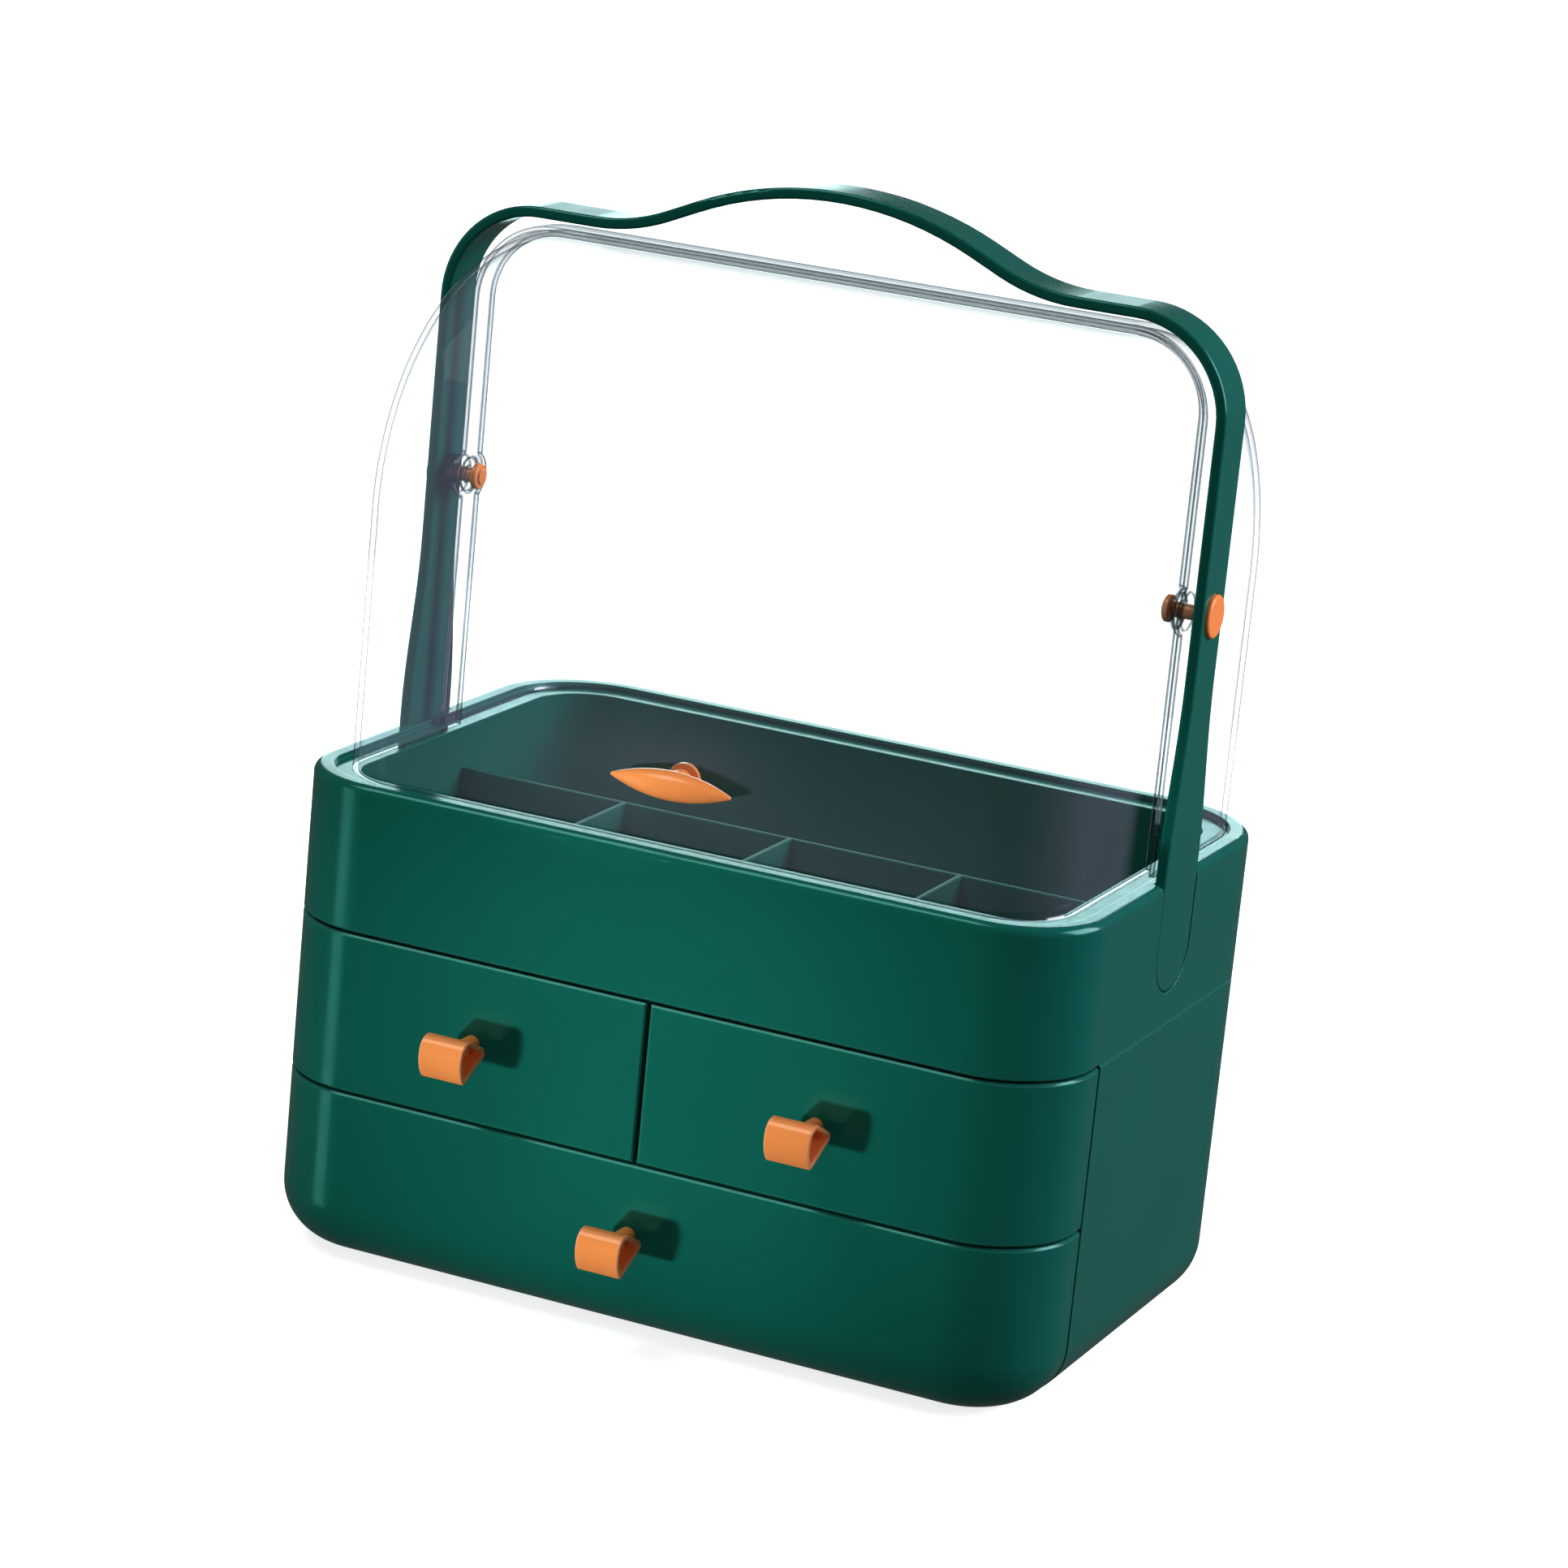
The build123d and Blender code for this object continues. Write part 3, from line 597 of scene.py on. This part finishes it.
# ---------------------------------------------------------------- sub-assemblies
@dataclass
class Cabinet:
    """The shell behind the drawers, with the shelf and divider that part them."""

    palette: Palette

    def build(self) -> None:
        """Dresses the shell, shelf and divider."""
        self.palette.dress("cabinet_shell", EMERALD_GLOSS)
        self.palette.dress("mid_shelf", EMERALD_SATIN)
        self.palette.dress("centre_divider", EMERALD_SATIN)


@dataclass
class PullScrew:
    """A pan-head screw with a cross recess, which holds a pull from inside its drawer."""

    palette: Palette
    drawer: str
    head_radius: float = 3.5 * MM
    head_height: float = 2.0 * MM
    head_round: float = 0.8 * MM
    round_steps: int = 6
    recess_span: float = 3.8 * MM
    recess_taper: float = 0.5
    recess_width: float = 0.9 * MM
    recess_depth: float = 1.2 * MM
    shank_radius: float = 1.45 * MM
    thread_pitch: float = 0.9 * MM
    thread_depth: float = 0.25 * MM
    point_length: float = 1.2 * MM
    segments: int = 48
    weld_distance: float = 0.001 * MM

    def profile(self, length: float) -> list[tuple[float, float]]:
        """Draws the screw's half section.

        Args:
            length: from the point to the top of the head.

        Returns:
            Radius and height of each corner, from the point up to the head's crown.
        """
        root_radius = self.shank_radius - self.thread_depth
        seat = length - self.head_height
        corners = [(0.0, 0.0), (root_radius, self.point_length)]
        for turn in range(int((seat - self.point_length) / self.thread_pitch)):
            low = self.point_length + turn * self.thread_pitch
            corners.append((self.shank_radius, low + self.thread_pitch / 2))
            corners.append((root_radius, low + self.thread_pitch))
        corners.append((root_radius, seat))
        corners.append((self.head_radius, seat))
        for step in range(self.round_steps + 1):
            turn = math.radians(90 / self.round_steps * step)
            corners.append((
                self.head_radius - self.head_round * (1 - math.cos(turn)),
                length - self.head_round * (1 - math.sin(turn)),
            ))
        corners.append((0.0, length))
        return corners

    def turned(self, name: str, length: float) -> bpy.types.Object:
        """Turns the half section round the screw's axis.

        Args:
            name: the object's name.
            length: from the point to the top of the head.

        Returns:
            The screw, still without its recess.
        """
        shape = bmesh.new()
        rim = [shape.verts.new((radius, 0, height)) for radius, height in self.profile(length)]
        edges = [shape.edges.new(pair) for pair in zip(rim, rim[1:])]
        bmesh.ops.spin(
            shape, geom=rim + edges, axis=(0, 0, 1), cent=(0, 0, 0), angle=math.tau, steps=self.segments
        )
        bmesh.ops.remove_doubles(shape, verts=shape.verts, dist=self.weld_distance)
        bmesh.ops.recalc_face_normals(shape, faces=shape.faces)
        return add_shape(name, shape)

    def recess(self, length: float) -> bpy.types.Object:
        """Makes the cross that the driver's tip cuts out of the head.

        Args:
            length: from the point to the top of the head.

        Returns:
            The cutter, two crossed wedges.
        """
        shape = bmesh.new()
        half_span = self.recess_span / 2
        for degrees in (0, 90):
            corners = [
                (side * half, edge * self.recess_width / 2, height)
                for half, height in (
                    (half_span, length + self.head_round),
                    (half_span * self.recess_taper, length - self.recess_depth),
                )
                for side in (-1, 1)
                for edge in (-1, 1)
            ]
            turn = Matrix.Rotation(math.radians(degrees), 3, "Z")
            points = [shape.verts.new(turn @ Vector(corner)) for corner in corners]
            bmesh.ops.convex_hull(shape, input=points)
        return add_shape(f"{self.drawer}_recess", shape)

    def cut_recess(self, screw: bpy.types.Object, length: float) -> None:
        """Cuts the cross recess into the head.

        Args:
            screw: the turned screw.
            length: from the point to the top of the head.
        """
        cutter = self.recess(length)
        cut = screw.modifiers.new("recess", "BOOLEAN")
        cut.object = cutter
        cut.operation = "DIFFERENCE"
        cut.solver = "EXACT"
        cut.use_self = True  # the cross is two wedges that run through each other
        bpy.context.view_layer.update()
        depsgraph = bpy.context.evaluated_depsgraph_get()
        screw.data = bpy.data.meshes.new_from_object(screw.evaluated_get(depsgraph))
        screw.data.name = screw.name
        screw.modifiers.clear()
        bpy.data.objects.remove(cutter)

    def build(self) -> None:
        """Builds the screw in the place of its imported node."""
        node = f"{self.drawer}_pull_screw"
        low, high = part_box(node)
        length = high.y - low.y
        screw = self.turned(f"{node}_dressed", length)
        self.cut_recess(screw, length)
        screw.data.shade_smooth()
        screw.data.materials.clear()
        screw.data.materials.append(self.palette.get(SCREW_STEEL))
        # The screw is drawn upright and lies along Y, with its head to the rear.
        place = Matrix.Translation(((low.x + high.x) / 2, low.y, (low.z + high.z) / 2))
        screw.matrix_world = place @ Matrix.Rotation(math.radians(-90), 4, "X")
        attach(screw, f"{self.drawer}_drawer")
        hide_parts(node)
        LOG.info("%s: %s with a cross recess", node, SCREW_STEEL.name)


@dataclass
class Drawer:
    """One drawer: a glossy front, a satin box behind it, its finger pull and the pull's screw."""

    palette: Palette
    side: str

    def build(self) -> None:
        """Dresses the drawer and builds its screw."""
        self.palette.dress(f"{self.side}_drawer_front", EMERALD_GLOSS)
        self.palette.dress(f"{self.side}_drawer_box", EMERALD_SATIN)
        self.palette.dress(f"{self.side}_drawer_pull", ORANGE_GLOSS)
        PullScrew(self.palette, self.side).build()


@dataclass
class Tray:
    """The open tub on top, with the low insert that splits it into bays."""

    palette: Palette

    def build(self) -> None:
        """Dresses the tub and its insert."""
        self.palette.dress("top_tray", EMERALD_GLOSS)
        self.palette.dress("tray_insert", EMERALD_SATIN)


@dataclass
class CarryingHandle:
    """The arched handle and the screws that hold its blades to the tub."""

    palette: Palette

    def build(self) -> None:
        """Dresses the handle and its screws."""
        self.palette.dress("handle", EMERALD_GLOSS)
        self.palette.dress("handle_screws", SCREW_STEEL)


@dataclass
class ClearCovers:
    """The two clear covers, with the finger tab on the front one and the clip behind it."""

    palette: Palette

    def build(self) -> None:
        """Dresses both covers, the tab and its clip."""
        self.palette.dress("front_cover", CLEAR_COVER)
        self.palette.dress("rear_cover", CLEAR_COVER)
        self.palette.dress("cover_tab", ORANGE_GLOSS)
        self.palette.dress("tab_clip", ORANGE_GLOSS)


@dataclass
class Pivot:
    """The capped pin on one side that the front cover swings on, with its retainer ring."""

    palette: Palette
    side: str

    def build(self) -> None:
        """Dresses the pin and its ring."""
        self.palette.dress(f"{self.side}_pivot_pin", ORANGE_GLOSS)
        self.palette.dress(f"{self.side}_pin_retainer", ORANGE_GLOSS)


# ---------------------------------------------------------------- studio
def hang_lamp(
    data: bpy.types.Light, place: tuple[float, float, float], aim: tuple[float, float, float]
) -> bpy.types.Object:
    """Hangs a lamp that lights the case and isn't seen itself.

    Args:
        data: the lamp's kind, shape and power, under its name.
        place: where it hangs.
        aim: the point that it faces.

    Returns:
        The lamp.
    """
    lamp = add_object(data.name, data)
    direction = Vector(aim) - Vector(place)
    lamp.matrix_world = Matrix.Translation(place) @ direction.to_track_quat("-Z", "Y").to_matrix().to_4x4()
    lamp.visible_camera = False
    LOG.info("lamp %s", data.name)
    return lamp


@dataclass(frozen=True)
class Softbox:
    """A rectangular soft lamp that faces a point on the case."""

    name: str
    place: tuple[float, float, float]
    aim: tuple[float, float, float]
    width: float
    height: float
    radiance: float
    colour: str = WHITE

    def build(self) -> None:
        """Hangs the lamp. Its power follows from its radiance and its area."""
        data = bpy.data.lights.new(self.name, "AREA")
        data.color = linear(self.colour)[:3]
        data.shape = "RECTANGLE"
        data.size = self.width
        data.size_y = self.height
        data.energy = self.radiance * math.pi * self.width * self.height
        hang_lamp(data, self.place, self.aim).visible_transmission = False


@dataclass(frozen=True)
class FlaggedSpot:
    """A soft spot low in front on the left, which leaves what it lights brightest in the middle.

    Its cone is stretched sideways, as a slotted flag in front of a lamp does.
    """

    name: str
    place: tuple[float, float, float]
    aim: tuple[float, float, float]
    radiance: float
    half_width: float
    half_height: float
    radius: float

    def build(self) -> None:
        """Hangs the lamp. Its power follows from what an upright white face at its aim would glow with."""
        data = bpy.data.lights.new(self.name, "SPOT")
        direction = Vector(self.aim) - Vector(self.place)
        facing = abs(direction.y) / direction.length
        data.energy = self.radiance * (2 * math.pi * direction.length) ** 2 / facing
        data.spot_size = 2 * math.atan(self.half_height / direction.length)
        data.spot_blend = 1.0
        data.shadow_soft_size = self.radius
        lamp = hang_lamp(data, self.place, self.aim)
        stretch = self.half_width * facing / self.half_height
        lamp.matrix_world = lamp.matrix_world @ Matrix.Diagonal((stretch, 1, 1, 1))
        # It hangs near where the fronts mirror the camera, and would leave a glaring patch on them.
        lamp.visible_glossy = False


@dataclass
class Studio:
    """A pale floor, soft light all round, four softboxes and two flagged spots."""

    palette: Palette
    floor_size: float = 24.0
    floor_gap: float = 0.2 * MM
    # How strong the light from all round is: from above, from below, as gloss mirrors it, and as it is seen.
    ambient_above: float = 0.20
    ambient_below: float = 0.04
    mirrored: float = 0.07
    backdrop: float = 1.3

    softboxes: tuple[Softbox, ...] = (
        # Mirrored by the handle and the tray's rim.
        Softbox(
            "rear_box", place=(-0.41, 0.85, 0.27), aim=(-0.41, 0, 0.27), width=0.75, height=0.44,
            radiance=3.0, colour="#dafcff",
        ),
        # The main light.
        Softbox(
            "top_box", place=(-0.72, -0.60, 1.70), aim=(0, -0.1, 0.1), width=0.80, height=0.80, radiance=4.5
        ),
        # Draws the pale stripe down the left front corner.
        Softbox(
            "left_strip", place=(-1.03, -0.92, 0.0), aim=(-0.1, -0.08, 0.08), width=0.34, height=1.2,
            radiance=1.5, colour="#c6fffc",
        ),
        # Lights the right side.
        Softbox(
            "right_fill", place=(1.50, 0.60, 0.95), aim=(0.1, 0, 0.12), width=1.2, height=1.2,
            radiance=8.2, colour="#fff0ff",
        ),
    )
    spots: tuple[FlaggedSpot, ...] = (
        # Lights the drawer fronts.
        FlaggedSpot(
            "front_spot", place=(-0.63, -1.33, -0.10), aim=(0.0, -0.095, 0.092), radiance=1.84,
            half_width=0.152, half_height=0.064, radius=0.10,
        ),
        # Lights the finger tab.
        FlaggedSpot(
            "tab_spot", place=(-0.50, -1.40, 0.05), aim=(-0.02, -0.095, 0.189), radiance=0.5,
            half_width=0.060, half_height=0.024, radius=0.02,
        ),
    )

    def build(self) -> None:
        """Builds the floor, the surroundings and the lamps."""
        self.floor()
        self.surroundings()
        for lamp in self.softboxes + self.spots:
            lamp.build()

    def floor(self) -> None:
        """Lays the floor just under the case."""
        half = self.floor_size / 2
        corners = [(-half, -half, 0), (half, -half, 0), (half, half, 0), (-half, half, 0)]
        mesh = bpy.data.meshes.new("floor")
        mesh.from_pydata(corners, [], [(0, 1, 2, 3)])
        mesh.materials.append(self.palette.get(FLOOR_PAPER))
        floor = add_object("floor", mesh)
        floor.location.z = -self.floor_gap
        # The case mirrors dark surroundings and not the pale floor, as it does in the photograph.
        floor.visible_glossy = False
        floor.visible_diffuse = False
        floor.visible_shadow = False
        LOG.info("floor")

    def surroundings(self) -> None:
        """Sets the light from all round: white where it is seen, dim where the gloss mirrors it.

        What lights the case is stronger from above than from below.
        """
        world = bpy.data.worlds.new("studio")
        world.use_nodes = True
        tree = world.node_tree
        tree.nodes.clear()
        path = add_node(tree, "ShaderNodeLightPath").outputs
        seen = add_node(
            tree, "ShaderNodeMath", links={0: path["Is Camera Ray"], 1: path["Is Transmission Ray"]},
            operation="MAXIMUM",
        ).outputs[0]
        direction = add_node(tree, "ShaderNodeTexCoord").outputs["Generated"]
        height = add_node(tree, "ShaderNodeSeparateXYZ", links={0: direction}).outputs["Z"]
        ambient = add_node(
            tree, "ShaderNodeMapRange",
            {"From Min": -1.0, "From Max": 1.0, "To Min": self.ambient_below, "To Max": self.ambient_above},
            {"Value": height},
        ).outputs[0]
        unseen = add_node(
            tree, "ShaderNodeMix", {"B": self.mirrored}, {"Factor": path["Is Glossy Ray"], "A": ambient},
            data_type="FLOAT",
        ).outputs["Result"]
        strength = add_node(
            tree, "ShaderNodeMix", {"B": self.backdrop}, {"Factor": seen, "A": unseen}, data_type="FLOAT"
        ).outputs["Result"]
        light = add_node(
            tree, "ShaderNodeBackground", {"Color": linear(WHITE)}, {"Strength": strength}
        ).outputs[0]
        add_node(tree, "ShaderNodeOutputWorld", links={"Surface": light})
        bpy.context.scene.world = world
        LOG.info("surroundings")


@dataclass(frozen=True)
class PhotographCamera:
    """The photograph's own view: from the front right, a little above, and tilted.

    It is fitted to the case's outline. Its angles are in radians, and its focal length in the image's pixels.
    """

    target: tuple[float, float, float] = (-0.002, 0.0, 0.1673)
    distance: float = 1.679
    yaw: float = 0.411
    pitch: float = 0.259
    roll: float = 0.098
    focal_pixels: float = 6228.0
    image_pixels: float = 1932.0
    sensor: float = 36.0
    clip_end: float = 100.0

    def build(self) -> None:
        """Sets up the camera."""
        level = Vector((math.cos(self.yaw), math.sin(self.yaw), 0))
        ahead = Vector((-math.sin(self.yaw), math.cos(self.yaw), 0))
        forward = math.cos(self.pitch) * ahead - math.sin(self.pitch) * Vector((0, 0, 1))
        upright = level.cross(forward)
        right = math.cos(self.roll) * level + math.sin(self.roll) * upright
        up = math.cos(self.roll) * upright - math.sin(self.roll) * level
        data = bpy.data.cameras.new("photograph")
        data.sensor_width = self.sensor
        data.lens = self.focal_pixels / self.image_pixels * self.sensor
        data.clip_end = self.clip_end
        camera = add_object("photograph", data)
        place = Vector(self.target) - self.distance * forward
        turn = Matrix((right, up, -forward)).transposed().to_4x4()
        camera.matrix_world = Matrix.Translation(place) @ turn
        bpy.context.scene.camera = camera
        LOG.info("camera at %s", tuple(round(v, 3) for v in place))


def main() -> None:
    """Builds every sub-assembly in order, then the studio and the camera."""
    logging.basicConfig(level=logging.INFO, format="%(message)s")
    palette = Palette()
    Cabinet(palette).build()
    for side in ("left", "right", "lower"):
        Drawer(palette, side).build()
    Tray(palette).build()
    CarryingHandle(palette).build()
    ClearCovers(palette).build()
    for side in ("left", "right"):
        Pivot(palette, side).build()
    Studio(palette).build()
    PhotographCamera().build()
    bpy.context.scene.view_settings.view_transform = "Standard"


if __name__ == "__main__":
    main()
